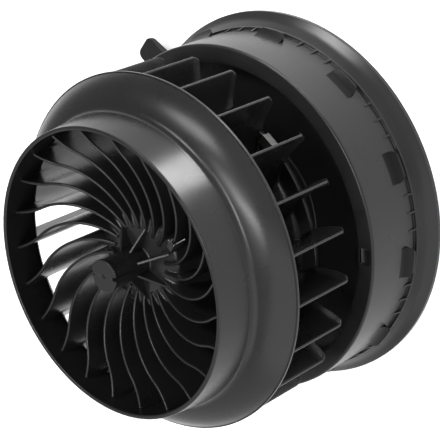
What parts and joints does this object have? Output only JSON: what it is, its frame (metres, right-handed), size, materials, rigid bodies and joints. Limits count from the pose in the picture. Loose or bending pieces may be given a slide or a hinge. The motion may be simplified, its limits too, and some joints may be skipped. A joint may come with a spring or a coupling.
{
  "type": "cabin blower motor",
  "caption": "Vehicle heater blower: open mixed-flow fan wheel on a motor inside a round flanged plastic housing with collar lugs and a locking tab.",
  "frame": {"origin": "on the shaft's axis, in the plane of the flange's flat rear face that the part stands on", "axes": "+Z along the shaft, out of the fan's mouth; the connector socket is on the +Y side of the back; the locking tab points about 21 degrees from +X towards +Y"},
  "size_m": [0.1709, 0.1638, 0.1099],
  "materials": {
    "fan_plastic": "black moulded nylon, satin",
    "housing_plastic": "black moulded polypropylene, satin",
    "card_plastic": "black moulded polyester, matt",
    "washer_plastic": "natural nylon, matt",
    "capacitor_resin": "dipped resin, glossy",
    "carbon": "pressed carbon, dull",
    "rubber": "moulded rubber, dull",
    "zinc_plated_steel": "zinc plated, satin",
    "spring_steel": "bare spring steel, satin",
    "shaft_steel": "ground bright",
    "lamination_steel": "stamped laminations, oiled",
    "ferrite": "sintered ferrite, matt",
    "sintered_bronze": "sintered bronze, matt",
    "tinned_brass": "tinned, satin",
    "copper": "enamelled copper, glossy"
  },
  "bodies": {
    "housing": {"flange_housing": "housing_plastic", "cushion_ring": "rubber", "motor_can": "zinc_plated_steel", "field_magnet_1": "ferrite", "field_magnet_2": "ferrite", "magnet_springs": "spring_steel", "front_bearing": "sintered_bronze", "rear_bearing": "sintered_bronze", "front_bearing_retainer": "spring_steel", "rear_bearing_retainer": "spring_steel", "brush_card": "card_plastic", "brush_1": "carbon", "brush_2": "carbon", "brush_spring_1": "spring_steel", "brush_spring_2": "spring_steel", "choke_1": "copper", "choke_2": "copper", "suppression_capacitor": "capacitor_resin", "terminal_1": "tinned_brass", "terminal_2": "tinned_brass", "rear_cover": "housing_plastic", "cover_screws": "zinc_plated_steel"},
    "rotor": {"fan_wheel": "fan_plastic", "motor_shaft": "shaft_steel", "armature_core": "lamination_steel", "armature_windings": "copper", "commutator": "copper", "rear_thrust_washer": "washer_plastic", "front_spacer_sleeve": "washer_plastic", "rim_balance_clip": "spring_steel", "blade_balance_clip": "spring_steel"}
  },
  "joints": [
    {"name": "fan_spin", "type": "hinge", "parent": "housing", "child": "rotor", "pos_m": [0, 0, 0.05], "axis": [0, 0, 1], "continuous": true}
  ]
}
